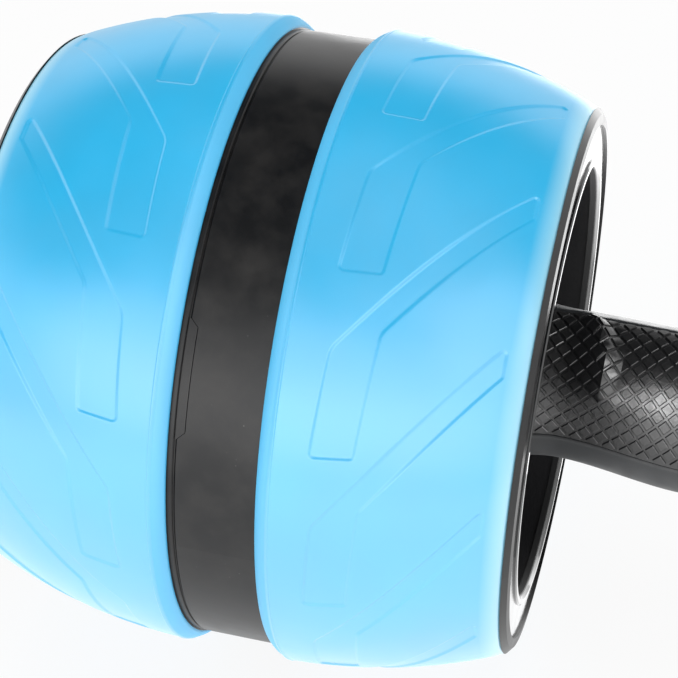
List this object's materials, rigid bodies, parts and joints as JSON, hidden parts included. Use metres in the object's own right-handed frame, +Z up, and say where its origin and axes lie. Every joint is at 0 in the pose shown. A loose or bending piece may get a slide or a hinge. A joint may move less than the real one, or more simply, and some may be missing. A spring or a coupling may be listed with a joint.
{
  "type": "ab wheel roller",
  "caption": "Wide barrel exercise wheel with blue rubber treads either side of a black band, a spring-assisted hub and a contoured grip handle on each side.",
  "frame": {"origin": "the wheel's centre, on the axle's axis and midway between the handles' ends", "axes": "+Y along the axle towards the right handle, +Z up with the wheel standing on its treads, +X towards the user who kneels behind the wheel"},
  "size_m": [0.1898, 0.4298, 0.1898],
  "materials": {
    "tread_rubber": "soft satin",
    "shell_plastic": "fine satin",
    "trim_plastic": "gloss",
    "handle_plastic": "satin",
    "grip_rubber": "soft matte, diamond knurl",
    "axle_steel": "zinc plated",
    "spring_steel": "blued",
    "case_steel": "pressed sheet",
    "bush_nylon": "natural nylon",
    "screw_steel": "zinc plated"
  },
  "bodies": {
    "handle_bar": {"axle": "axle_steel", "spring_arbor": "axle_steel", "arbor_pin": "axle_steel", "left_washer": "axle_steel", "left_circlip": "spring_steel", "left_handle_core": "handle_plastic", "left_front_pad": "grip_rubber", "left_rear_pad": "grip_rubber", "left_end_cap": "handle_plastic", "left_button_spring": "spring_steel", "right_washer": "axle_steel", "right_circlip": "spring_steel", "right_handle_core": "handle_plastic", "right_front_pad": "grip_rubber", "right_rear_pad": "grip_rubber", "right_end_cap": "handle_plastic", "right_button_spring": "spring_steel"},
    "wheel": {"left_shell": "shell_plastic", "right_shell": "shell_plastic", "left_dish": "shell_plastic", "right_dish": "shell_plastic", "left_tread": "tread_rubber", "right_tread": "tread_rubber", "left_trim_ring": "trim_plastic", "right_trim_ring": "trim_plastic", "left_bush": "bush_nylon", "right_bush": "bush_nylon", "shell_screws": "screw_steel", "spring_case": "case_steel", "spring_case_lid": "case_steel", "case_screws": "screw_steel", "power_spring": "spring_steel"},
    "left_button": {"left_lock_button": "axle_steel"},
    "right_button": {"right_lock_button": "axle_steel"}
  },
  "joints": [
    {"name": "wheel_spin", "type": "hinge", "parent": "handle_bar", "child": "wheel", "pos_m": [0, 0, 0], "axis": [0, -1, 0], "range_deg": [0, 810], "stiffness_Nm_per_rad": 0.6, "springref_deg": -68.75, "deforming": ["power_spring"]},
    {"name": "left_button_press", "type": "slide", "parent": "handle_bar", "child": "left_button", "axis": [-0.766, 0, 0.6428], "range_m": [0, 0.0052], "stiffness_N_per_m": 800, "deforming": ["left_button_spring"]},
    {"name": "right_button_press", "type": "slide", "parent": "handle_bar", "child": "right_button", "axis": [-0.766, 0, 0.6428], "range_m": [0, 0.0052], "stiffness_N_per_m": 800, "deforming": ["right_button_spring"]}
  ]
}
